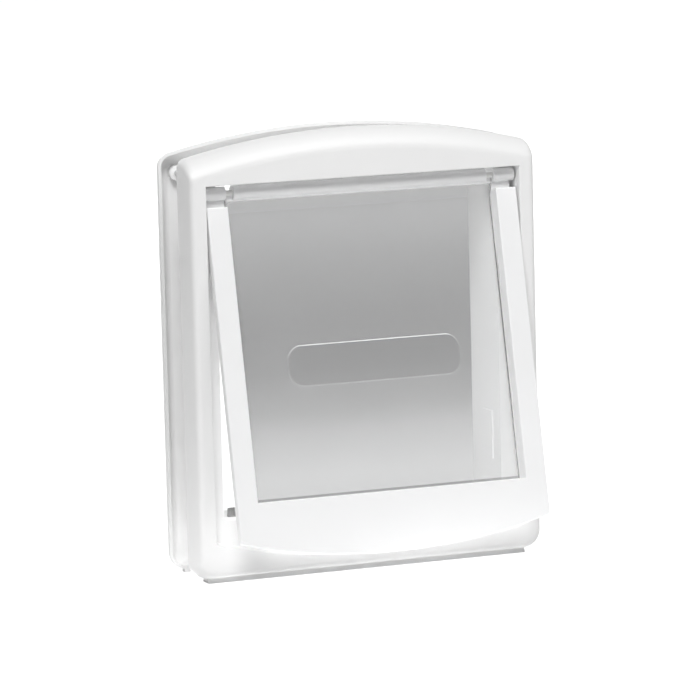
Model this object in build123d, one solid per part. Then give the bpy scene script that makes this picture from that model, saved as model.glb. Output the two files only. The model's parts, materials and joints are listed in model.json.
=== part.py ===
"""Cat flap for a house door: two clamp-on frames, a swinging surround and a clear flap.

Millimetres, +Z up, +Y away from the viewer. Everything is drawn with the front face of the
front frame on y = 0 and with the swinging pieces hanging straight down. At the end the swinging
pieces are turned to their shown angle and the whole set is moved so that the origin lies under
the middle of the front frame's base lip.
"""
import math
import os
from build123d import *

# Frames
FRAME_W = 198.0          # overall width
FRAME_H = 236.0          # overall height, at the crown of the arch
FRAME_D = 17.0           # depth of the front frame, face to rim
REAR_D = 9.5             # depth of the rear frame, rim to face
REAR_EDGE_R = 8.0        # rounded edge around the rear face
DOOR_T = 28.0            # door thickness, the space between the two rims
ARCH_RISE = 12.4         # rise of the arched top
WALL = 1.6               # moulded wall
RIM_D = 2.0              # straight band next to the rim
SIDE_DROP = 1.8          # how far the sides lean in from rim to face
TOP_DROP = 9.4           # the same for the top
FOOT_DROP = 3.0          # the same for the bottom
TOP_CORNER_R = 5.5       # front frame, at the rim
REAR_CORNER_R = 7.5      # rear frame, at the rim
CORNER_FALL = 0.3        # how much tighter the top corners get per millimetre of inset
FOOT_CORNER_R = 9.0
EDGE_R = 3.2             # rounded edge around the face
TOP_EDGE_R = 5.6         # the same along the top
LIP_H = 2.0              # base lip below the rounded body
LIP_D = 9.0
REAR_LIP_D = 3.5
LIP_IN = 8.0             # end of the lip inside the frame's side

# Opening in the front face
FACE_SIDE = 10.0         # flat face beside the opening
FACE_TOP = 3.4           # flat face above the opening, at its ends
SILL_END = 22.0          # height of the sill at its ends
SILL_SAG = 11.7          # how much lower the sill is in the middle
SILL_CORNER_R = 2.5      # rounded ends of the sill
OPENING_EDGE_R = 0.6     # rounded front edge of the opening
JAMB_T = 2.0

# Stop flange and tunnel
STOP_BACK = 4.7          # front of the flange that the surround closes against, ahead of the rim
STOP_T = 2.0
STOP_W = 9.2             # how far the flange reaches into the opening
STOP_GAP = 0.6           # closed surround to flange
TUNNEL_T = 1.8
TUNNEL_CORNER_R = 3.0
TUNNEL_REACH = 21.0      # front frame's tunnel half beyond the rim
TUNNEL_LAP = 8.0         # overlap of the two tunnel halves
SLIDE_GAP = 0.3          # gap between the two tunnel halves
KEEPER_T = 0.8           # shallow keepers on the tunnel walls
KEEPER_W = 12.0
KEEPER_H = 26.0
KEEPER_UP = 18.5         # keeper above the tunnel floor
KEEPER_IN = 4.0          # keeper ahead of the tunnel half's end
RIB_T = 1.4              # stiffening ribs
RIB_D = 7.0
RIBS = 3                 # ribs on each side of the front frame

# Hinge
HINGE_DROP = 4.8         # axis below the top of the opening
ROD_R = 1.5
ROD_CHAMFER = 0.3
RUN_FIT = 0.08           # radial running fit on the rod
SEAT_FIT = 0.02          # radial fit of the rod in the frame
ROD_BOSS_R = 3.9
ROD_BOSS_L = 6.0         # hinge seat beside the opening
ROD_SEAT = 4.4           # how far the rod reaches into its seat
ROD_END_GAP = 0.1
KNUCKLE_R = 3.6
BARREL_R = 3.9
OPEN_DEG = 12.1          # angle at which the swinging pieces are shown

# Surround
SWING_GAP = 1.0          # surround to opening
STRIP_W = 11.8
STRIP_FRONT = 4.2        # front of the strip ahead of the axis
STRIP_BACK = 3.2         # back of the strip behind the axis
STRIP_TOP = 7.6          # top of the strip below the axis
STEP_W = 1.5             # step along the outer back of the strips
STEP_FRONT = 4.0         # front of the step behind the strip's face
BAR_H = 20.3             # height of the bottom bar at its ends
BAR_CORNER_R = 2.0
STRIP_EDGE_R = 0.7       # rounded front edges
SHELL = 1.8              # wall of the hollowed surround
STRIP_CAP = 5.8          # solid end at the top of a strip
NECK_T = 2.0
NECK_LAP = 3.0           # neck below the strip's top
BAR_RIBS = 6             # bays behind the bar

# Flap
FLAP_GAP = 0.4           # flap to surround, at the side and behind it
FLAP_T = 2.6
FLAP_TOP = 7.7           # top of the flat panel below the axis
FLAP_CORNER_R = 4.0
BEND_H = 10.7            # foot of the bend under the barrel, below the axis
BARREL_GAP = 4.3         # barrel end to knuckle
FLAP_LAP = 4.5           # how far the flap reaches down behind the bar
PAD_W = 98.0             # plain raised pad
PAD_H = 22.0
PAD_CORNER_R = 8.0
PAD_L = 93.2             # pad centre below the axis
PAD_T = 0.8
PAD_EDGE = 0.5           # sloped edge around the pad
LINE_L = 17.7            # raised line below the axis
LINE_W = 108.0
LINE_H = 0.8
LINE_T = 0.3

# Pile strip and magnets
PILE_GAP = 0.4           # flap to pile
PILE_T = 2.0
PILE_H = 4.8             # pile above its land
PILE_OVER = 0.8          # pile beyond the flap's side
PILE_BASE_T = 3.0
PILE_BASE_H = 1.5
LAND_H = 1.6             # raised land that carries the pile strip
LAND_EDGE = 2.0          # land behind the pile strip
LAND_SLOPE = 0.8         # sloped front and back of the land
MAGNET_W = 30.0
MAGNET_H = 2.8
MAGNET_T = 1.6
MAGNET_FIT = 0.05
POCKET_T = 1.2           # wall around the keeper magnet

# Fixings
SCREW_LOW = 23.5         # lower screws above the base
SCREW_TOP = 22.4         # upper screws below the crown
SCREW_IN = 4.9           # lower screws inside the upper ones
SCREW_R = 1.75
SCREW_HEAD_R = 2.8
SCREW_HEAD_T = 2.2
SCREW_BOSS_R = 2.9
SCREW_OUT = 3.2          # screw axis outside the rear frame's tunnel half
SCREW_BOSS_L = 26.0      # boss beyond the rim
SCREW_TIP = 2.0          # screw tip to the bottom of its bore
CROSS_L = 3.0            # cross recess
CROSS_W = 0.8
CROSS_D = 1.1
SEAT_DEPTH = 4.1         # screw head seat below the rear face
SLEEVE_T = 1.2           # wall around the screw head
SEAT_T = 1.3             # floor under the screw head
CAP_T = 1.6
CAP_EDGE_R = 0.4
HEAD_EDGE_R = 0.8

# Modelling
SUNK = 0.5               # how far a feature starts inside the wall that carries it
OVER = 1.0               # how far a cutter runs past the wall

# Derived places
half_w = FRAME_W / 2
arch_r = (half_w ** 2 + ARCH_RISE ** 2) / (2 * ARCH_RISE)
bend_y = FRAME_D - RIM_D
rear_rim = FRAME_D + DOOR_T
rear_face = rear_rim + REAR_D
open_x = half_w - FACE_SIDE
open_top = FRAME_H - ARCH_RISE - TOP_DROP - FACE_TOP
sill_mid = SILL_END - SILL_SAG
tunnel_x = open_x - STOP_W
tunnel_end = FRAME_D + TUNNEL_REACH
stop_y = FRAME_D - STOP_BACK
flange_y = stop_y + STOP_T
hinge_y = stop_y - STOP_GAP - STRIP_BACK
axis_z = open_top - HINGE_DROP
bar_x = open_x - SWING_GAP
window_x = bar_x - STRIP_W
bar_end = SILL_END + SWING_GAP
bar_mid = sill_mid + SWING_GAP
window_z = bar_end + BAR_H
strip_y0 = hinge_y - STRIP_FRONT
strip_y1 = hinge_y + STRIP_BACK
flap_x = window_x - FLAP_GAP
flap_y0 = strip_y1 + FLAP_GAP
flap_y1 = flap_y0 + FLAP_T
flap_end = window_z - FLAP_LAP
flap_mid = (flap_y0 + flap_y1) / 2
reach = math.hypot(axis_z - flap_end, flap_y1 - hinge_y)
pile_top = axis_z - reach - PILE_GAP
pile_y = flap_y1 + PILE_T / 2
pile_x = flap_x + PILE_OVER
land_top = pile_top - PILE_H
threshold = land_top - LAND_H
pocket_y = flange_y + POCKET_T / 2
screw_x = tunnel_x + 2 * TUNNEL_T + SLIDE_GAP + SCREW_OUT
screw_high = FRAME_H - SCREW_TOP
boss_end = FRAME_D + SCREW_BOSS_L
seat_y = rear_face - SEAT_DEPTH
sleeve_r = SCREW_HEAD_R + MAGNET_FIT


def along_y(face, y0, y1):
    """Prism of a face drawn in x and z, from y0 back to y1."""
    return Pos(0, y1, 0) * extrude(Plane.XZ * face, amount=y1 - y0)


def along_x(face, x0, x1):
    """Prism of a face drawn in y and z, from x0 to x1."""
    return Pos(x0, 0, 0) * extrude(Plane.YZ * face, amount=x1 - x0)


def block(x0, x1, y0, y1, z0, z1):
    return Pos((x0 + x1) / 2, (y0 + y1) / 2, (z0 + z1) / 2) * Box(x1 - x0, y1 - y0, z1 - z0)


def rod(radius, x0, x1, y, z):
    """Cylinder along x."""
    return Pos((x0 + x1) / 2, y, z) * Rot(0, 90, 0) * Cylinder(radius, x1 - x0)


def peg(radius, y0, y1, x, z):
    """Cylinder along y."""
    return Pos(x, (y0 + y1) / 2, z) * Rot(90, 0, 0) * Cylinder(radius, y1 - y0)


def wall_inset(depth, run, drop, edge):
    """How far a wall has come in at a depth behind the face.

    From the rim side it is an arc that starts square and leans in by about drop over run, and then
    a rounded edge that turns it into the face.
    """
    turn = 2 * math.atan2(drop, run)
    radius = run / math.sin(turn)
    centre = radius - math.sqrt((radius - edge) ** 2 - (run - edge) ** 2)
    meet = run + (edge - run) / (radius - edge) * radius
    if depth >= run:
        return 0.0
    if depth >= meet:
        return radius - math.sqrt(radius ** 2 - (run - depth) ** 2)
    return centre - math.sqrt(max(edge ** 2 - (edge - depth) ** 2, 0.0))


def ring(t, side_in, top_in, foot_in, corner_r):
    """Outline of a frame in x and z: arched top, round corners, drawn in by the given insets."""
    x = half_w - t - side_in
    top_r = arch_r - t - top_in
    arch_z = FRAME_H - arch_r
    low = LIP_H + t + foot_in
    corner = corner_r - t - CORNER_FALL * top_in
    foot = FOOT_CORNER_R - t
    kx = x - corner
    kz = arch_z + math.sqrt((top_r - corner) ** 2 - kx ** 2)
    ux, uz = kx / (top_r - corner), (kz - arch_z) / (top_r - corner)
    tx, tz = ux * top_r, arch_z + uz * top_r
    half = math.hypot(ux + 1.0, uz)
    mx, mz = kx + corner * (ux + 1.0) / half, kz + corner * uz / half
    s = foot * (1 - math.sqrt(0.5))
    edge = ThreePointArc((-tx, tz), (0, arch_z + top_r), (tx, tz))
    edge += ThreePointArc((tx, tz), (mx, mz), (x, kz))
    edge += Line((x, kz), (x, low + foot))
    edge += ThreePointArc((x, low + foot), (x - s, low + s), (x - foot, low))
    edge += Line((x - foot, low), (foot - x, low))
    edge += ThreePointArc((foot - x, low), (s - x, low + s), (-x, low + foot))
    edge += Line((-x, low + foot), (-x, kz))
    edge += ThreePointArc((-x, kz), (-mx, mz), (-tx, tz))
    return make_face(edge)


def cover_body(t):
    """Rounded body of a frame (t = 0) or the hollow inside it (t = wall), face forward."""
    run = bend_y - t
    rim = run + RIM_D + (1.0 if t else 0.0)
    edge = EDGE_R - 0.5 * t
    top_edge = TOP_EDGE_R - 0.5 * t
    shares = (1.0, 0.79, 0.57, 0.39, 0.25, 0.14, 0.07, 0.03, 0.007, 0.0)
    depths = [rim, run + RIM_D / 2] + [run * share for share in shares]
    rings = []
    for d in depths:
        side_in = wall_inset(d, run, SIDE_DROP, edge)
        top_in = wall_inset(d, run, TOP_DROP, top_edge)
        foot_in = wall_inset(d, run, FOOT_DROP, edge)
        rings.append(Pos(0, d + t, 0) * (Plane.XZ * ring(t, side_in, top_in, foot_in, TOP_CORNER_R)))
    return loft(rings)


def base_lip(depth):
    """Lip along the foot of a frame, next to its rim, ending in y = 0."""
    reach_x = half_w - LIP_IN
    return block(-reach_x, reach_x, -depth, 0, 0, LIP_H + WALL / 2)


def front_cover():
    """Hollow front moulding with its base lip, face on y = 0."""
    outer = cover_body(0.0) + Pos(0, FRAME_D, 0) * base_lip(LIP_D)
    return outer - cover_body(WALL)


def tray_body(t):
    """Rounded tray of the rear frame (t = 0) or the hollow inside it (t = wall), rim forward."""
    edge = REAR_EDGE_R - t
    band = rear_face - REAR_EDGE_R
    rings = []
    for deg in (90, 86, 80, 71, 61, 50, 38, 25, 12, 0):
        inset = edge * (1 - math.cos(math.radians(deg)))
        y = band + edge * math.sin(math.radians(deg))
        rings.append(Pos(0, y, 0) * (Plane.XZ * ring(t, inset, inset, inset, REAR_CORNER_R)))
    rim = rear_rim - (OVER if t else 0.0)
    rings.append(Pos(0, rim, 0) * (Plane.XZ * ring(t, 0.0, 0.0, 0.0, REAR_CORNER_R)))
    return loft(rings)


def rear_cover():
    """Hollow rear tray with its base lip, rim forward."""
    outer = tray_body(0.0) + mirror(base_lip(REAR_LIP_D), Plane.XZ).translate((0, rear_rim, 0))
    return outer - tray_body(WALL)


def opening(grow):
    """Face of the front opening, enlarged by grow."""
    x = open_x + grow
    low = SILL_END - grow
    edge = Line((-x, low), (-x, open_top + grow)) + Line((-x, open_top + grow), (x, open_top + grow))
    edge += Line((x, open_top + grow), (x, low))
    edge += ThreePointArc((x, low), (0, sill_mid - grow), (-x, low))
    face = make_face(edge)
    return fillet(face.vertices().sort_by(Axis.Y)[:2], SILL_CORNER_R + grow)


def tunnel(grow):
    """Face of the passage through the door, enlarged by grow."""
    width = 2 * (tunnel_x + grow)
    height = open_top - threshold + 2 * grow
    return Pos(0, (open_top + threshold) / 2) * RectangleRounded(width, height, TUNNEL_CORNER_R + grow)


def at_screws(make):
    """A feature repeated at the four fixings."""
    out = Part()
    for sign in (-1, 1):
        out += make(sign * screw_x, screw_high)
        out += make(sign * (screw_x - SCREW_IN), SCREW_LOW)
    return out


def make_front_frame():
    body = front_cover()
    body -= along_y(opening(0.0), -OVER, WALL + OVER)
    edges = [e for e in body.edges() if e.bounding_box().max.Y < 0.01 and abs(e.center().X) < open_x + 0.01
             and sill_mid - 0.01 < e.center().Z < open_top + 0.01]
    body = fillet(edges, OPENING_EDGE_R)
    body += along_y(opening(JAMB_T) - opening(0.0), WALL / 2, flange_y)
    body += along_y(opening(JAMB_T) - tunnel(0.0), stop_y, flange_y)
    body += along_y(tunnel(TUNNEL_T) - tunnel(0.0), stop_y, tunnel_end)
    # land for the pile strip, with sloped sides and a groove
    y0, y1 = stop_y, pile_y + PILE_BASE_T / 2 + LAND_EDGE
    low = threshold - SUNK
    land = make_face(Polyline((y0, low), (y0, threshold), (y0 + LAND_SLOPE, land_top), (y1, land_top),
                              (y1 + LAND_SLOPE, threshold), (y1 + LAND_SLOPE, low), close=True))
    body += along_x(land, -tunnel_x - SUNK, tunnel_x + SUNK)
    groove = PILE_BASE_T / 2 + MAGNET_FIT
    groove_x = pile_x + MAGNET_FIT
    body -= block(-groove_x, groove_x, pile_y - groove, pile_y + groove,
                  land_top - PILE_BASE_H, land_top + OVER)
    # pocket for the keeper magnet under the tunnel floor
    floor = threshold - TUNNEL_T
    slot_x = MAGNET_W / 2 + MAGNET_FIT
    slot_end = pocket_y + MAGNET_T + 2 * MAGNET_FIT
    wall_x = slot_x + POCKET_T
    body += block(-wall_x, wall_x, flange_y - SUNK, slot_end + POCKET_T, floor - MAGNET_H, floor + SUNK)
    body -= block(-slot_x, slot_x, pocket_y, slot_end, floor - MAGNET_H - OVER, floor)
    # hinge seats beside the opening, and the hole on the right that the rod is put in through
    for sign in (-1, 1):
        ends = sorted((sign * (open_x + SUNK), sign * (open_x + ROD_BOSS_L)))
        body += rod(ROD_BOSS_R, ends[0], ends[1], hinge_y, axis_z)
    body -= rod(ROD_R + SEAT_FIT, -open_x - ROD_SEAT - ROD_END_GAP, half_w + OVER, hinge_y, axis_z)
    # ribs between the jambs and the outer wall
    for sign in (-1, 1):
        for i in range(RIBS):
            z = SILL_END + (axis_z - SILL_END) * (i + 1) / (RIBS + 1)
            ends = sorted((sign * (open_x + JAMB_T - SUNK), sign * (half_w - WALL / 2)))
            body += block(ends[0], ends[1], bend_y - RIB_D, bend_y, z - RIB_T / 2, z + RIB_T / 2)
    # screw bosses on the jamb and the stop flange
    body += at_screws(lambda x, z: peg(SCREW_BOSS_R, stop_y - STOP_T, boss_end, x, z))
    body -= along_y(opening(0.0), 0, stop_y)
    body -= at_screws(lambda x, z: peg(SCREW_R + SEAT_FIT, flange_y, boss_end + OVER, x, z))
    # shallow keepers on the tunnel walls
    for sign in (-1, 1):
        ends = sorted((sign * (tunnel_x - KEEPER_T), sign * (tunnel_x + SUNK)))
        keeper_y, keeper_z = tunnel_end - KEEPER_IN, threshold + KEEPER_UP
        body += block(ends[0], ends[1], keeper_y - KEEPER_W, keeper_y, keeper_z, keeper_z + KEEPER_H)
    return body


def make_rear_frame():
    body = rear_cover()
    grow = TUNNEL_T + SLIDE_GAP
    body += along_y(tunnel(grow + TUNNEL_T) - tunnel(grow), tunnel_end - TUNNEL_LAP, rear_face - WALL / 2)
    body += at_screws(lambda x, z: peg(sleeve_r + SLEEVE_T, seat_y - SEAT_T, rear_face - WALL / 2, x, z))
    body -= at_screws(lambda x, z: peg(SCREW_R + SEAT_FIT, rear_rim - OVER, rear_face + OVER, x, z))
    body -= at_screws(lambda x, z: peg(sleeve_r, seat_y, rear_face + OVER, x, z))
    body -= along_y(tunnel(grow), tunnel_end - TUNNEL_LAP - OVER, rear_face + OVER)
    return body


def make_surround():
    edge = Line((-bar_x, axis_z - STRIP_TOP), (-bar_x, bar_end))
    edge += ThreePointArc((-bar_x, bar_end), (0, bar_mid), (bar_x, bar_end))
    edge += Line((bar_x, bar_end), (bar_x, axis_z - STRIP_TOP))
    edge += Line((bar_x, axis_z - STRIP_TOP), (window_x, axis_z - STRIP_TOP))
    edge += Line((window_x, axis_z - STRIP_TOP), (window_x, window_z))
    edge += Line((window_x, window_z), (-window_x, window_z))
    edge += Line((-window_x, window_z), (-window_x, axis_z - STRIP_TOP))
    edge += Line((-window_x, axis_z - STRIP_TOP), (-bar_x, axis_z - STRIP_TOP))
    body = along_y(make_face(edge), strip_y0, strip_y1)
    foot = [e for e in body.edges().filter_by(Axis.Y) if e.center().Z < bar_end + 1]
    body = fillet(foot, BAR_CORNER_R)
    front = [e for e in body.edges() if abs((e @ 0).Y - strip_y0) < 0.01 and abs((e @ 1).Y - strip_y0) < 0.01]
    body = fillet(front, STRIP_EDGE_R)
    # step along the outer back, then hollow the back of the strips and the bar, leaving ribs
    step_x = bar_x - STEP_W
    for sign in (-1, 1):
        ends = sorted((sign * step_x, sign * (bar_x + OVER)))
        body -= block(ends[0], ends[1], strip_y0 + STEP_FRONT, strip_y1 + OVER, 0.0, axis_z)
    strip_mid = (step_x + window_x) / 2
    hollow_w = step_x - window_x - 2 * SHELL
    high, low = axis_z - STRIP_TOP - STRIP_CAP, window_z
    back = strip_y0 + SHELL
    for sign in (-1, 1):
        mid = sign * strip_mid
        body -= block(mid - hollow_w / 2, mid + hollow_w / 2, back, strip_y1 + OVER, low, high)
    wide = step_x - SHELL
    foot_z, top_z = bar_end + 1.6 * SHELL, window_z - SHELL
    pocket = Line((-wide, top_z), (-wide, foot_z))
    pocket += ThreePointArc((-wide, foot_z), (0, bar_mid + SHELL), (wide, foot_z))
    pocket += Line((wide, foot_z), (wide, top_z))
    pocket += Line((wide, top_z), (-wide, top_z))
    body -= along_y(make_face(pocket), back, strip_y1 + OVER)
    half_rib = RIB_T / 2
    rib_back = strip_y1 - FLAP_GAP
    for i in range(BAR_RIBS + 1):
        x = -window_x + 2 * window_x * i / BAR_RIBS
        body += block(x - half_rib, x + half_rib, back - SUNK, rib_back, bar_end, window_z - SHELL / 2)
    for sign in (-1, 1):
        for z in (0.33, 0.66):
            rib_z = low + (high - low) * z
            ends = (sign * strip_mid - hollow_w / 2 - SUNK, sign * strip_mid + hollow_w / 2 + SUNK)
            body += block(ends[0], ends[1], back - SUNK, rib_back, rib_z - half_rib, rib_z + half_rib)
        # neck set back behind the strip's face, and the knuckle on the rod
        ends = sorted((sign * window_x, sign * step_x))
        body += block(ends[0], ends[1], strip_y1 - NECK_T, strip_y1, axis_z - STRIP_TOP - NECK_LAP, axis_z)
        ends = sorted((sign * window_x, sign * bar_x))
        body += rod(KNUCKLE_R, ends[0], ends[1], hinge_y, axis_z)
    body -= rod(ROD_R + RUN_FIT, -half_w, half_w, hinge_y, axis_z)
    return body


def make_flap():
    top, low = axis_z - FLAP_TOP, flap_end
    panel = along_y(Pos(0, (top + low) / 2) * Rectangle(2 * flap_x, top - low), flap_y0, flap_y1)
    panel = fillet([e for e in panel.edges().filter_by(Axis.Y) if e.center().Z < low + OVER], FLAP_CORNER_R)
    # bend that joins the panel to its barrel
    foot = axis_z - BEND_H
    bend = make_face(Polyline((hinge_y, axis_z), (hinge_y, axis_z - BARREL_R + SUNK), (flap_y0, foot),
                              (flap_mid, foot), (flap_y1, top), (hinge_y + BARREL_R - SUNK, axis_z),
                              close=True))
    panel += along_x(bend, -flap_x, flap_x)
    barrel_x = window_x - BARREL_GAP
    panel += rod(BARREL_R, -barrel_x, barrel_x, hinge_y, axis_z)
    panel -= rod(ROD_R + RUN_FIT, -half_w, half_w, hinge_y, axis_z)
    pad = Pos(0, axis_z - PAD_L) * RectangleRounded(PAD_W, PAD_H, PAD_CORNER_R)
    pad = along_y(pad, flap_y0 - PAD_T, flap_mid)
    panel += chamfer(pad.faces().sort_by(Axis.Y)[0].edges(), PAD_EDGE)
    line_z = axis_z - LINE_L
    line_x = LINE_W / 2
    panel += block(-line_x, line_x, flap_y0 - LINE_T, flap_mid, line_z - LINE_H / 2, line_z + LINE_H / 2)
    slot_x = MAGNET_W / 2 + MAGNET_FIT
    slot_t = MAGNET_T / 2 + MAGNET_FIT
    panel -= block(-slot_x, slot_x, flap_mid - slot_t, flap_mid + slot_t, flap_end - OVER, flap_end + MAGNET_H)
    return panel


def make_screws():
    def one(x, z):
        screw = peg(SCREW_R, flange_y + SCREW_TIP, seat_y, x, z)
        head = peg(SCREW_HEAD_R, seat_y, seat_y + SCREW_HEAD_T, x, z)
        head = fillet(head.edges().sort_by(Axis.Y)[-1:], HEAD_EDGE_R)
        for turn in (0, 90):
            slot = Pos(x, seat_y + SCREW_HEAD_T, z) * Rot(0, turn, 0) * Box(CROSS_L, 2 * CROSS_D, CROSS_W)
            head -= slot
        return screw + head
    return at_screws(one)


def make_caps():
    def one(x, z):
        cap = peg(sleeve_r, rear_face - CAP_T, rear_face, x, z)
        return fillet(cap.edges().sort_by(Axis.Y)[-1:], CAP_EDGE_R)
    return at_screws(one)


front_frame = make_front_frame()
rear_frame = make_rear_frame()
hinge_rod = rod(ROD_R, -open_x - ROD_SEAT, open_x + ROD_BOSS_L - SUNK, hinge_y, axis_z)
hinge_rod = chamfer(hinge_rod.edges().filter_by(GeomType.CIRCLE), ROD_CHAMFER)
base, pile = PILE_BASE_T / 2, PILE_T / 2
pile_strip = block(-pile_x, pile_x, pile_y - base, pile_y + base, land_top - PILE_BASE_H, land_top)
pile_strip += block(-pile_x, pile_x, pile_y - pile, pile_y + pile, land_top - SUNK, pile_top)
magnet_x = MAGNET_W / 2
keeper_y = pocket_y + MAGNET_FIT
keeper_z = threshold - TUNNEL_T
keeper_magnet = block(-magnet_x, magnet_x, keeper_y, keeper_y + MAGNET_T, keeper_z - MAGNET_H, keeper_z)
surround = make_surround()
flap_panel = make_flap()
half_t = MAGNET_T / 2
flap_magnet = block(-magnet_x, magnet_x, flap_mid - half_t, flap_mid + half_t, flap_end, flap_end + MAGNET_H)

swing_axis = Axis((0, hinge_y, axis_z), (1, 0, 0))
shift = Pos(0, LIP_D / 2 - FRAME_D, 0)
nodes = {
    "front_frame": front_frame,
    "rear_frame": rear_frame,
    "hinge_rod": hinge_rod,
    "pile_strip": pile_strip,
    "keeper_magnet": keeper_magnet,
    "fixing_screws": make_screws(),
    "screw_caps": make_caps(),
    "surround": surround.rotate(swing_axis, -OPEN_DEG),
    "flap_panel": flap_panel.rotate(swing_axis, -OPEN_DEG),
    "flap_magnet": flap_magnet.rotate(swing_axis, -OPEN_DEG),
}
os.makedirs("parts", exist_ok=True)
for name, shape in nodes.items():
    export_step(shift * shape, f"parts/{name}.step")
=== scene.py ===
# %% [markdown]
# # A cat flap for a house door
# The object is a white plastic fitting: a front frame and a rear frame that clamp a door between
# them, a white surround that swings in the front opening, and a clear flap that hangs behind it.
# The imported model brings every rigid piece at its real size, in metres. This lesson gives those
# pieces their finish, adds the fine parts that a solid model leaves plain, and sets up the picture.

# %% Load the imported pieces
import json
import math

import bpy
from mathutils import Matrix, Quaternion, Vector


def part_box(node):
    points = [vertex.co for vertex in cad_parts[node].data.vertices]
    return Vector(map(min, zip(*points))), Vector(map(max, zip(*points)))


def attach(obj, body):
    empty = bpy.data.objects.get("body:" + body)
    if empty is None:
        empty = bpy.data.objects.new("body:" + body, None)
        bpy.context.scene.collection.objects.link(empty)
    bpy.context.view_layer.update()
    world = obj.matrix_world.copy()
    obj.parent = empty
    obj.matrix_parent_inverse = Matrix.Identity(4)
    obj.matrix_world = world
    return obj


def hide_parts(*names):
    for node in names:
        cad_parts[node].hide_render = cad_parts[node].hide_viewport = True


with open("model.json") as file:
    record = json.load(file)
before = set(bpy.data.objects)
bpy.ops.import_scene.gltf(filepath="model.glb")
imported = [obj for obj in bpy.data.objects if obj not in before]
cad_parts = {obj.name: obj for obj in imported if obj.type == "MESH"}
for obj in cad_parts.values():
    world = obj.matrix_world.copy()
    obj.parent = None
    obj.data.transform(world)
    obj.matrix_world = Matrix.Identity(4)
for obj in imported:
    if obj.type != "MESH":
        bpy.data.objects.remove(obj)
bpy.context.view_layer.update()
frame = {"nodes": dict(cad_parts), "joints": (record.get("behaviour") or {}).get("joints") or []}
nodes = frame["nodes"]
print("pieces:", sorted(nodes))

# %% [markdown]
# ## The camera
# The picture was taken from the front left with a long lens, a little above the object and with the
# camera rolled by one and a half degrees. A camera could be placed by eye, but a direction, a
# distance and a focal length are easier to correct one at a time, so it is set from those numbers.
# The small lens shift moves the object to its place in the square picture.

# %% Set up the camera
AIM = Vector((0.0, 0.0075, 0.118))
VIEW_TURN = math.radians(21.97)
VIEW_DIP = math.radians(8.17)
VIEW_ROLL = math.radians(-1.44)
VIEW_DISTANCE = 2.5696
SENSOR = 36.0
LENS = 248.24
SHIFT_ACROSS = -0.0070
SHIFT_UP = -0.0053
SIGHT_END = 50.0

forward = Vector((math.sin(VIEW_TURN) * math.cos(VIEW_DIP),
                  math.cos(VIEW_TURN) * math.cos(VIEW_DIP),
                  -math.sin(VIEW_DIP)))
bpy.ops.object.select_all(action='DESELECT')
bpy.ops.object.camera_add(location=AIM - forward * VIEW_DISTANCE)
camera = bpy.context.object
camera.name = "portrait_camera"
camera.rotation_mode = 'QUATERNION'
camera.rotation_quaternion = forward.to_track_quat("-Z", "Y") @ Quaternion((0, 0, 1), VIEW_ROLL)
camera.data.sensor_width = SENSOR
camera.data.lens = LENS
camera.data.shift_x = SHIFT_ACROSS
camera.data.shift_y = SHIFT_UP
camera.data.clip_end = SIGHT_END
bpy.context.scene.camera = camera
print("camera at", [round(v, 3) for v in camera.location])

# %% [markdown]
# ## Nodes by name
# Every finish below is a small node tree. Such trees can be wired by hand in the Shader Editor. In
# code, four helpers keep the cells short: one starts a material with a Principled shader, one adds a
# node, sets its values and links its inputs, one grades a value into colours, and one gives the
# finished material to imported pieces.

# %% Helpers for node trees


def new_material(name):
    """A material with only an output and a Principled shader."""
    material = bpy.data.materials.new(name)
    material.use_nodes = True
    tree = material.node_tree
    shader = tree.nodes["Principled BSDF"]
    return material, tree, shader


def add_node(tree, kind, values=None, links=None, **settings):
    """A node with its settings, plain input values and links from other sockets."""
    node = tree.nodes.new(kind)
    for key, value in settings.items():
        setattr(node, key, value)
    for key, value in (values or {}).items():
        node.inputs[key].default_value = value
    for key, socket in (links or {}).items():
        tree.links.new(socket, node.inputs[key])
    return node


def graded(tree, socket, stops):
    """Colours along a value: a Color Ramp from positions, in rising order, and their colours."""
    node = add_node(tree, "ShaderNodeValToRGB", links={"Fac": socket})
    elements = node.color_ramp.elements
    while len(elements) < len(stops):
        elements.new(0.5)
    for element, (position, colour) in zip(elements, stops.items()):
        element.position = position
        element.color = (*colour, 1.0)
    return node.outputs["Color"]


def dress(names, material):
    """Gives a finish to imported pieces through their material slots."""
    for name in names:
        for slot in nodes[name].material_slots:
            slot.material = material


print("helpers: new_material, add_node, graded, dress")

# %% [markdown]
# ## White moulded plastic
# Frames and surround are white plastic from a mould with a fine satin texture. A flat white would
# look like paper. A very fine noise makes the grain of the mould as a bump, and a slower noise
# shifts colour and roughness a little, as in a real moulding. The surround comes from a more
# polished mould, so it gets a smoother version of the same tree.

# %% White plastic
SLOW_SCALE = 14.0
SLOW_SHADE = 0.985
SLOW_ROUGH_LESS = 0.03
SLOW_ROUGH_MORE = 0.04
GRAIN_SCALE = 2600.0
GRAIN_DEPTH = 0.00004
PLASTIC_IOR = 1.5
FRAME_WHITE = (0.9, 0.9, 0.898)
SURROUND_WHITE = (0.92, 0.922, 0.925)


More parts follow.
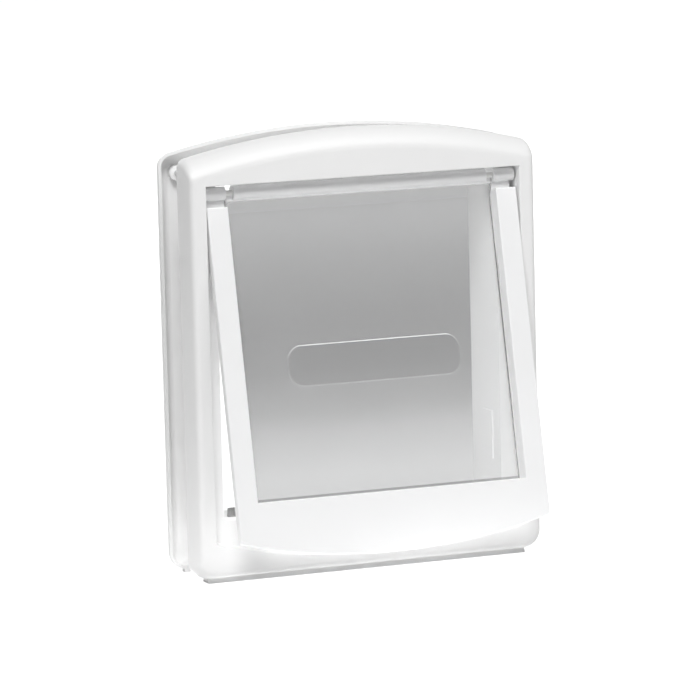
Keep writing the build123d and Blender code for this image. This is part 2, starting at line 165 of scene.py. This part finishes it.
def moulded_plastic(name, shade, rough, grain):
    """Satin plastic: fine mould grain, and slow changes of colour and roughness."""
    material, tree, shader = new_material(name)
    place = add_node(tree, "ShaderNodeTexCoord").outputs["Object"]
    slow = add_node(tree, "ShaderNodeTexNoise", {"Scale": SLOW_SCALE, "Detail": 3.0}, {"Vector": place})
    darker = [SLOW_SHADE * c for c in shade]
    tint = graded(tree, slow.outputs["Fac"], {0.3: darker, 0.7: shade})
    gloss = add_node(tree, "ShaderNodeMapRange",
                     {"To Min": rough - SLOW_ROUGH_LESS, "To Max": rough + SLOW_ROUGH_MORE},
                     {"Value": slow.outputs["Fac"]})
    fine = add_node(tree, "ShaderNodeTexNoise",
                    {"Scale": GRAIN_SCALE, "Detail": 2.0, "Roughness": 0.6}, {"Vector": place})
    bump = add_node(tree, "ShaderNodeBump", {"Strength": grain, "Distance": GRAIN_DEPTH},
                    {"Height": fine.outputs["Fac"]})
    tree.links.new(tint, shader.inputs["Base Color"])
    tree.links.new(gloss.outputs["Result"], shader.inputs["Roughness"])
    tree.links.new(bump.outputs["Normal"], shader.inputs["Normal"])
    shader.inputs["IOR"].default_value = PLASTIC_IOR
    return material


frame_plastic = moulded_plastic("frame_satin_white", FRAME_WHITE, rough=0.42, grain=0.35)
surround_plastic = moulded_plastic("surround_smooth_white", SURROUND_WHITE, rough=0.3, grain=0.15)
dress(["front_frame", "rear_frame", "screw_caps"], frame_plastic)
dress(["surround"], surround_plastic)
print("white finishes:", frame_plastic.name, surround_plastic.name)

# %% [markdown]
# ## Places on the flap
# The flap is one moulding without being one finish: the barrel at its top is milky, the pad in the
# middle has a light sloped edge, and the rims of the clear panel are painted darker, as painted shade
# where the panel meets the surround. Faces could be picked by hand and given materials of their own.
# Masks worked out from the place on the flap stay sharp at any size instead. A Mapping node first
# turns the swung flap upright about its hinge, so that x runs along the hinge, y runs backwards and z
# runs up from it.

# %% Helpers for places on the flap
joints = {joint["name"]: joint for joint in frame["joints"]}
hinge = joints["flap_hinge"]["pos_m"]
open_angle = math.radians(-joints["surround_hinge"]["range_deg"][0])


def upright_place(tree):
    """Place on the flap as if it hung straight down from its hinge, as x, y and z sockets."""
    place = add_node(tree, "ShaderNodeTexCoord").outputs["Object"]
    turned = add_node(tree, "ShaderNodeMapping",
                      {"Location": hinge, "Rotation": (-open_angle, 0.0, 0.0)},
                      {"Vector": place}, vector_type='TEXTURE')
    return add_node(tree, "ShaderNodeSeparateXYZ", links={"Vector": turned.outputs["Vector"]}).outputs


def fade(tree, socket, full, none):
    """1 where the value is at full, and 0 where it is at none, with an even change between them."""
    node = add_node(tree, "ShaderNodeMapRange",
                    {"From Min": full, "From Max": none, "To Min": 1.0, "To Max": 0.0}, {"Value": socket})
    return node.outputs["Result"]


def combine(tree, operation, first, second=0.0):
    """One Math node on two sockets or numbers. SQRT and ABSOLUTE use only the first."""
    node = add_node(tree, "ShaderNodeMath", operation=operation)
    for i, value in enumerate((first, second)):
        if isinstance(value, (int, float)):
            node.inputs[i].default_value = value
        else:
            tree.links.new(value, node.inputs[i])
    return node.outputs[0]


print("flap swung by", round(math.degrees(open_angle), 1), "degrees")

# %% [markdown]
# ## Distance to the pad's edge
# The pad is a rounded rectangle. A picture of it could be painted as a mask, but a distance is exact
# at any size: fold the place into one corner, take away the straight part of the sides, and what is
# left is the distance to the centre of that corner's arc.

# %% Helper for the pad


def rounded_distance(tree, across, up, wide, tall, corner):
    """Distance outside a rounded rectangle about the point where both values are 0."""
    straight = (wide / 2 - corner, tall / 2 - corner, 0.0)
    spot = add_node(tree, "ShaderNodeCombineXYZ", links={"X": across, "Y": up})
    spot = add_node(tree, "ShaderNodeVectorMath", links={0: spot.outputs[0]}, operation='ABSOLUTE')
    spot = add_node(tree, "ShaderNodeVectorMath", {1: straight}, {0: spot.outputs[0]},
                    operation='SUBTRACT')
    spot = add_node(tree, "ShaderNodeVectorMath", {1: (0.0, 0.0, 0.0)}, {0: spot.outputs[0]},
                    operation='MAXIMUM')
    reach = add_node(tree, "ShaderNodeVectorMath", links={0: spot.outputs[0]}, operation='LENGTH')
    return combine(tree, 'SUBTRACT', reach.outputs["Value"], corner)


print("helper: rounded_distance")

# %% [markdown]
# ## Masks of the flap
# Each part of the flap now gets a mask that is 1 on it and 0 elsewhere: the barrel by its distance
# from the hinge line, the pad and its sloped edge by the rounded distance, and the rims, which get
# painted shade, by the distance from the panel's sides and lower line. A short fade at each edge
# avoids a cut-out look.

# %% Masks of the flap
BARREL_R = 0.0039
BARREL_FULL = 0.0002
BARREL_NONE = 0.0012
PAD_SIZE = (0.098, 0.022)
PAD_CORNER = 0.008
PAD_DROP = 0.0932
PAD_FULL = -0.0007
PAD_NONE = -0.0003
PAD_RIM_INSET = 0.00025
PAD_RIM_FULL = 0.0003
PAD_RIM_NONE = 0.0006
PANEL_HALF = 0.0758
SIDE_RIM_FULL = 0.0003
SIDE_RIM_NONE = 0.0009
LOWER_LINE = 0.1617
LOWER_RIM_FULL = 0.0004
LOWER_RIM_NONE = 0.0009

flap_clear, tree, shader = new_material("flap_smoke_clear")
x, y, z = upright_place(tree)
square = combine(tree, 'ADD', combine(tree, 'MULTIPLY', y, y), combine(tree, 'MULTIPLY', z, z))
from_axis = combine(tree, 'SQRT', square)
barrel = fade(tree, from_axis, BARREL_R + BARREL_FULL, BARREL_R + BARREL_NONE)
pad_edge = rounded_distance(tree, x, combine(tree, 'ADD', z, PAD_DROP), *PAD_SIZE, PAD_CORNER)
pad = fade(tree, pad_edge, PAD_FULL, PAD_NONE)
from_pad_rim = combine(tree, 'ABSOLUTE', combine(tree, 'ADD', pad_edge, PAD_RIM_INSET))
pad_rim = fade(tree, from_pad_rim, PAD_RIM_FULL, PAD_RIM_NONE)
side_rim = fade(tree, combine(tree, 'ABSOLUTE', x), PANEL_HALF - SIDE_RIM_FULL, PANEL_HALF - SIDE_RIM_NONE)
from_lower_line = combine(tree, 'ABSOLUTE', combine(tree, 'ADD', z, LOWER_LINE))
lower_rim = fade(tree, from_lower_line, LOWER_RIM_FULL, LOWER_RIM_NONE)
# Painted shade: this rim mask darkens the panel where it meets the surround, as the shadow line of that
# gap.
painted_rim_shade = combine(tree, 'MAXIMUM', side_rim, lower_rim)
print("flap masks: barrel, pad, pad rim, panel rims")

# %% [markdown]
# ## Colour and haze of the flap
# The flap is clear plastic with a smoke tint and a faint haze, so most of the light goes through and
# a little is scattered: that is a Transmission Weight below one, which also lets the surround throw
# its soft shadow on the flap. Each mask changes one thing: the pad is a shade darker than the panel,
# the rims are darker still as painted shade where the panel meets the surround, the barrel is paler,
# and the pad's sloped edge and the barrel let less light through. A slow ripple in tint and surface
# keeps the panel from looking like a computed pane.

# %% Colour and haze of the flap
SMOKE_DARK = (0.74, 0.743, 0.745)
SMOKE_LIGHT = (0.77, 0.773, 0.775)
PAD_SHADE = 0.9
# Painted shade: how much darker the panel's rims are drawn where the panel meets the surround.
RIM_PAINTED_SHADE = 0.6
BARREL_SHADE = 1.27
CLEAR = 0.87
PAD_RIM_CLEAR = 0.83
BARREL_CLEAR = 0.2
CLEAR_ROUGH = 0.05
PAD_RIM_ROUGH = 0.13
BARREL_ROUGH = 0.32
RIPPLE_SCALE = 30.0
RIPPLE_DEPTH = 0.0002
FLAP_IOR = 1.49


def mixed(tree, mask, first, second):
    """Mix of two values or sockets by a mask."""
    gap = combine(tree, 'SUBTRACT', second, first)
    return combine(tree, 'ADD', combine(tree, 'MULTIPLY', gap, mask), first)


place = add_node(tree, "ShaderNodeTexCoord").outputs["Object"]
ripple = add_node(tree, "ShaderNodeTexNoise", {"Scale": RIPPLE_SCALE, "Detail": 1.0}, {"Vector": place})
smoke = graded(tree, ripple.outputs["Fac"], {0.0: SMOKE_DARK, 1.0: SMOKE_LIGHT})
# The rim factor here is painted shade along the panel's sides and lower line.
shade = combine(tree, 'MULTIPLY', mixed(tree, pad, 1.0, PAD_SHADE), mixed(tree, painted_rim_shade, 1.0, RIM_PAINTED_SHADE))
shade = combine(tree, 'MULTIPLY', shade, mixed(tree, barrel, 1.0, BARREL_SHADE))
tinted = add_node(tree, "ShaderNodeVectorMath", links={0: smoke, "Scale": shade}, operation='SCALE')
clear = mixed(tree, barrel, mixed(tree, pad_rim, CLEAR, PAD_RIM_CLEAR), BARREL_CLEAR)
gloss = mixed(tree, barrel, mixed(tree, pad_rim, CLEAR_ROUGH, PAD_RIM_ROUGH), BARREL_ROUGH)
wave = add_node(tree, "ShaderNodeBump", {"Strength": 0.05, "Distance": RIPPLE_DEPTH},
                {"Height": ripple.outputs["Fac"]})
tree.links.new(tinted.outputs["Vector"], shader.inputs["Base Color"])
tree.links.new(wave.outputs["Normal"], shader.inputs["Normal"])
tree.links.new(gloss, shader.inputs["Roughness"])
shader.inputs["IOR"].default_value = FLAP_IOR
shader.inputs["Transmission Weight"].default_value = 1.0  # for an export that can't read the masks
tree.links.new(clear, shader.inputs["Transmission Weight"])
print("flap colour and haze joined to", shader.name)

# %% [markdown]
# ## A window for shadow rays
# Real glass in a path tracer throws dark shadows, because lamps can't be found through a bent ray.
# Caustics would solve that slowly and with noise. For shadow rays alone the material turns into a
# plain tinted window instead, and light from the lamps reaches the tunnel behind the flap.

# %% Window for shadow rays
WINDOW_TINT = (0.9, 0.9, 0.9, 1.0)

window = add_node(tree, "ShaderNodeBsdfTransparent", {"Color": WINDOW_TINT})
ray = add_node(tree, "ShaderNodeLightPath")
either = add_node(tree, "ShaderNodeMixShader", links={
    0: ray.outputs["Is Shadow Ray"],
    1: shader.outputs["BSDF"],
    2: window.outputs["BSDF"],
})
tree.links.new(either.outputs["Shader"], tree.nodes["Material Output"].inputs["Surface"])
dress(["flap_panel"], flap_clear)
print("clear finish:", flap_clear.name)

# %% [markdown]
# ## Rod, screws, magnets and pile
# The hinge rod is smooth white nylon, a plainer kin of the frame plastic. The screws are bright
# zinc-plated steel, drawn through a die, so a noise stretched along their length gives faint
# drawing lines. The magnets are dull pressed powder. The pile strip is grey fibre.

# %% Metal, magnet and pile finishes
ROD_WHITE = (0.84, 0.84, 0.83)
ZINC_GREY = (0.66, 0.66, 0.67)
ALONG_SCREW = (1.0, 0.05, 1.0)
MAGNET_DARK = (0.03, 0.03, 0.033)
MAGNET_LIGHT = (0.06, 0.06, 0.064)
PILE_DARK = (0.26, 0.26, 0.26)
PILE_LIGHT = (0.46, 0.46, 0.455)
SPECK_DEPTH = 0.0001


def drawn_steel(name, shade, stretch):
    """Bright steel with faint lines along one axis."""
    material, tree, shader = new_material(name)
    place = add_node(tree, "ShaderNodeTexCoord").outputs["Object"]
    line = add_node(tree, "ShaderNodeMapping", {"Scale": stretch}, {"Vector": place})
    noise = add_node(tree, "ShaderNodeTexNoise", {"Scale": 900.0, "Detail": 2.0},
                     {"Vector": line.outputs["Vector"]})
    darker = [0.85 * c for c in shade]
    tone = graded(tree, noise.outputs["Fac"], {0.0: darker, 1.0: shade})
    gloss = add_node(tree, "ShaderNodeMapRange", {"To Min": 0.22, "To Max": 0.36},
                     {"Value": noise.outputs["Fac"]})
    tree.links.new(tone, shader.inputs["Base Color"])
    tree.links.new(gloss.outputs["Result"], shader.inputs["Roughness"])
    shader.inputs["Metallic"].default_value = 1.0
    return material


def speckled(name, dark, light, scale, rough):
    """Dull material with a fine speckle."""
    material, tree, shader = new_material(name)
    place = add_node(tree, "ShaderNodeTexCoord").outputs["Object"]
    noise = add_node(tree, "ShaderNodeTexNoise", {"Scale": scale, "Detail": 3.0}, {"Vector": place})
    tone = graded(tree, noise.outputs["Fac"], {0.3: dark, 0.7: light})
    bump = add_node(tree, "ShaderNodeBump", {"Strength": 0.4, "Distance": SPECK_DEPTH},
                    {"Height": noise.outputs["Fac"]})
    tree.links.new(tone, shader.inputs["Base Color"])
    tree.links.new(bump.outputs["Normal"], shader.inputs["Normal"])
    shader.inputs["Roughness"].default_value = rough
    return material


rod_nylon = moulded_plastic("rod_white_nylon", ROD_WHITE, rough=0.35, grain=0.1)
screw_zinc = drawn_steel("screw_zinc_steel", ZINC_GREY, ALONG_SCREW)
magnet_dull = speckled("magnet_dull_black", MAGNET_DARK, MAGNET_LIGHT, scale=1800.0, rough=0.55)
pile_fibre = speckled("pile_grey_fibre", PILE_DARK, PILE_LIGHT, scale=2200.0, rough=0.9)
dress(["hinge_rod"], rod_nylon)
dress(["fixing_screws"], screw_zinc)
dress(["keeper_magnet", "flap_magnet"], magnet_dull)
print("other finishes:", rod_nylon.name, screw_zinc.name, magnet_dull.name, pile_fibre.name)

# %% [markdown]
# ## Pile strip
# A brush of short fibres on a woven tape closes the gap under the flap. A plain block with a fibre
# texture would still have a block's outline, so the fibres are real: one tapered tuft is modelled from
# a cone, two Array modifiers repeat it along and across the tape, and a little randomness keeps the
# rows from looking like a comb. A tuft stands for a small bundle of fibres and has few faces, because
# there are hundreds of them.

# %% One tuft of the pile strip
TAPE_H = 0.0011
TUFT_R = 0.00062
TUFT_SIDES = 6
TUFT_LOOSE = 0.00011

pile_low, pile_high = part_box("pile_strip")
pile_mid = (pile_low + pile_high) / 2
pile_size = pile_high - pile_low
tuft_height = pile_size.z - TAPE_H - TUFT_LOOSE
tuft_start = Vector((pile_low.x + TUFT_R, pile_low.y + TUFT_R, pile_low.z + TAPE_H + tuft_height / 2))
bpy.ops.object.select_all(action='DESELECT')
bpy.ops.mesh.primitive_cone_add(vertices=TUFT_SIDES, radius1=TUFT_R, radius2=TUFT_R / 2,
                                depth=tuft_height, location=tuft_start)
tufts = bpy.context.object
tufts.name = "pile_brush"
bpy.ops.object.transform_apply(location=True, rotation=True, scale=True)
bpy.ops.object.mode_set(mode='EDIT')
bpy.ops.mesh.select_all(action='SELECT')
bpy.ops.mesh.subdivide(number_cuts=1)
bpy.ops.object.mode_set(mode='OBJECT')
print("tuft height in mm:", round(1000 * tuft_height, 2))

# %% Rows of tufts
TUFT_PITCH = 0.00098
TUFT_ROWS = 4
TUFT_SEED = 4


def repeat(piece, name, count, step):
    """Copies a piece in a row by an Array modifier, and applies it."""
    row = piece.modifiers.new(name, 'ARRAY')
    row.use_relative_offset = False
    row.use_constant_offset = True
    row.count = count
    row.constant_offset_displace = step
    bpy.ops.object.modifier_apply(modifier=name)


tuft_run = pile_size.x - 2 * TUFT_R
tuft_depth = pile_size.y - 2 * TUFT_R
along = int(tuft_run / TUFT_PITCH) + 1
repeat(tufts, "along", along, (tuft_run / (along - 1), 0.0, 0.0))
repeat(tufts, "across", TUFT_ROWS, (0.0, tuft_depth / (TUFT_ROWS - 1), 0.0))
bpy.ops.object.mode_set(mode='EDIT')
bpy.ops.mesh.select_all(action='SELECT')
bpy.ops.transform.vertex_random(offset=TUFT_LOOSE, seed=TUFT_SEED)
bpy.ops.object.mode_set(mode='OBJECT')
print("tufts:", along * TUFT_ROWS, "with", len(tufts.data.polygons), "faces")

# %% [markdown]
# ## Tape of the pile strip
# The tufts stand on a narrow tape. It starts as a cube at the tape's size, and a small bevel takes the
# sharpness off its edges, as on real tape. Tufts and tape are then joined into one piece, which stands
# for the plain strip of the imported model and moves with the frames.

# %% Tape of the pile strip
SMOOTH_ANGLE = math.radians(40)

bpy.ops.object.select_all(action='DESELECT')
bpy.ops.mesh.primitive_cube_add(size=1.0, location=(pile_mid.x, pile_mid.y, pile_low.z + TAPE_H / 2))
tape = bpy.context.object
tape.scale = (pile_size.x, pile_size.y, TAPE_H)
bpy.ops.object.transform_apply(location=True, rotation=True, scale=True)
bpy.ops.object.mode_set(mode='EDIT')
bpy.ops.mesh.select_all(action='SELECT')
bpy.ops.mesh.bevel(offset=TAPE_H / 5, segments=2, affect='EDGES')
bpy.ops.object.mode_set(mode='OBJECT')
tufts.select_set(True)
bpy.context.view_layer.objects.active = tufts
bpy.ops.object.join()
bpy.ops.object.shade_smooth_by_angle(angle=SMOOTH_ANGLE)
tufts.data.materials.clear()
tufts.data.materials.append(pile_fibre)
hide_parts("pile_strip")
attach(tufts, "frames")
print("pile strip:", tufts.name, [round(1000 * v, 2) for v in tufts.dimensions])

# %% [markdown]
# ## Floor
# The picture has a plain white ground. More light would bleach the object as well. The floor is a
# large pale plane instead, and for what the camera, a mirror or clear plastic sees of it some white is
# added, so that it reads as white while the soft shadow under the object stays.

# %% Floor
FLOOR_SIZE = 30.0
FLOOR_PAINT = (0.88, 0.88, 0.88, 1.0)
FLOOR_ROUGH = 0.9
FLOOR_LIFT = 0.9


def seen_directly(tree):
    """1 for what the camera, a mirror or clear plastic sees, and 0 for light that falls on things."""
    ray = add_node(tree, "ShaderNodeLightPath").outputs
    near = combine(tree, 'MAXIMUM', ray["Is Camera Ray"], ray["Is Glossy Ray"])
    return combine(tree, 'MAXIMUM', near, ray["Is Transmission Ray"])


bpy.ops.object.select_all(action='DESELECT')
bpy.ops.mesh.primitive_plane_add(size=FLOOR_SIZE, location=(0.0, 0.0, 0.0))
floor = bpy.context.object
floor.name = "studio_floor"
floor_paint, tree, shader = new_material("floor_white")
shader.inputs["Base Color"].default_value = FLOOR_PAINT
shader.inputs["Roughness"].default_value = FLOOR_ROUGH
shader.inputs["Emission Color"].default_value = (1.0, 1.0, 1.0, 1.0)
lift = combine(tree, 'MULTIPLY', seen_directly(tree), FLOOR_LIFT)
tree.links.new(lift, shader.inputs["Emission Strength"])
floor.data.materials.append(floor_paint)
print("floor:", floor.name)

# %% [markdown]
# ## Grey card
# Behind the object stands a grey card, brighter towards its foot and its top. Only light that has
# passed through clear plastic shows it: it gives the flap its grey, as a studio wall does, and leaves
# the white ground around the object alone. It glows evenly, so no lamp has to be aimed at it.

# %% Grey card
CARD_X = 0.1
CARD_Y = 0.15
CARD_WIDE = 0.8
CARD_TALL = 0.4
CARD_GRADED = 0.2
CARD_GREYS = {
    0.12: 0.8,
    0.23: 0.61,
    0.305: 0.4,
    0.42: 0.24,
    0.54: 0.2,
    0.64: 0.24,
    0.745: 0.32,
    0.9: 0.5,
}

bpy.ops.object.select_all(action='DESELECT')
bpy.ops.mesh.primitive_plane_add(size=1.0, location=(CARD_X, CARD_Y, CARD_TALL / 2),
                                 rotation=(math.pi / 2, 0.0, 0.0))
card = bpy.context.object
card.name = "studio_card"
card.scale = (CARD_WIDE, CARD_TALL, 1.0)
bpy.ops.object.transform_apply(location=True, rotation=True, scale=True)
card_paint, tree, shader = new_material("card_grey")
tree.nodes.remove(shader)
place = add_node(tree, "ShaderNodeTexCoord").outputs["Object"]
height = add_node(tree, "ShaderNodeSeparateXYZ", links={"Vector": place}).outputs["Z"]
share = add_node(tree, "ShaderNodeMapRange", {"From Min": 0.0, "From Max": CARD_GRADED}, {"Value": height})
card_stops = {at: (grey, grey, grey) for at, grey in CARD_GREYS.items()}
card_tone = graded(tree, share.outputs["Result"], card_stops)
glow = add_node(tree, "ShaderNodeEmission", links={"Color": card_tone})
tree.links.new(glow.outputs["Emission"], tree.nodes["Material Output"].inputs["Surface"])
card.data.materials.append(card_paint)
card.visible_camera = False
card.visible_diffuse = False
card.visible_glossy = False
card.visible_shadow = False
print("card:", card.name)

# %% [markdown]
# ## Sky
# The sky is white for what the camera, a mirror or clear plastic sees of it, and throws no light. All
# the light on the object then comes from lamps, which can be aimed.

# %% Sky
world = bpy.data.worlds.new("studio_sky")
bpy.context.scene.world = world
world.use_nodes = True
tree = world.node_tree
sky = tree.nodes["Background"]
sky.inputs["Color"].default_value = (1.0, 1.0, 1.0, 1.0)
tree.links.new(seen_directly(tree), sky.inputs["Strength"])
print("sky:", world.name)

# %% [markdown]
# ## Studio light
# The object stands on a bright table. Its top is the brightest, its front a little less bright, and
# its left side is grey at the top and gets brighter towards the table. A single sky would light all
# sides alike, so area lamps share the work: one large lamp high at the front left, a smaller one above
# the front right, and one behind for the back. Lamps laid on the table and facing up stand for the
# light that a bright table throws back, in front, at the left and between the frames, and a low strip
# lights the lip. A slim strip above the gap faces backwards and picks out the rim of the rear frame.

# %% Lamps
MIDDLE = (0.0, 0.0, 0.12)
TABLE_TOP = 0.0005


def soft_lamp(name, place, target, wide, tall, power):
    """A rectangular area lamp that faces a point."""
    bpy.ops.object.light_add(type='AREA', location=place)
    lamp = bpy.context.object
    lamp.name = name
    lamp.data.shape = 'RECTANGLE'
    lamp.data.size = wide
    lamp.data.size_y = tall
    lamp.data.energy = power
    lamp.rotation_mode = 'QUATERNION'
    lamp.rotation_quaternion = (Vector(target) - Vector(place)).to_track_quat("-Z", "Y")
    lamp.visible_camera = False


def table_lamp(name, x, y, wide, tall, power):
    """A lamp that lies on the table and faces up."""
    soft_lamp(name, (x, y, TABLE_TOP), (x, y, 1.0), wide, tall, power)


soft_lamp("key_soft", place=(-1.06, -1.99, 2.78), target=MIDDLE, wide=1.0, tall=1.0, power=76.0)
soft_lamp("top_front", place=(0.3, -0.5, 1.3), target=MIDDLE, wide=0.6, tall=0.6, power=5.6)
soft_lamp("back_fill", place=(0.1, 2.6, 0.5), target=MIDDLE, wide=1.0, tall=1.0, power=18.0)
soft_lamp("rim_strip", place=(-0.02, 0.0046, 0.258), target=(-0.02, 1.0, 0.258),
          wide=0.2, tall=0.006, power=0.026)
table_lamp("table_left", x=-0.165, y=0.01, wide=0.12, tall=0.2, power=0.04)
table_lamp("table_front", x=-0.02, y=-0.085, wide=0.3, tall=0.13, power=0.04)
table_lamp("table_right", x=0.08, y=-0.13, wide=0.2, tall=0.2, power=0.055)
soft_lamp("table_edge", place=(0.0, -0.0135, 0.0011), target=(0.0, 0.0, 0.0011),
          wide=0.19, tall=0.0016, power=0.0014)
table_lamp("table_gap", x=0.0, y=0.0135, wide=0.2, tall=0.014, power=0.021)

# %% [markdown]
# ## Colour view
# The last line sets the Standard view transform for the picture. The dressed model must stay
# within the imported model's box.

# %% Set the view transform
bpy.context.scene.view_settings.view_transform = 'Standard'
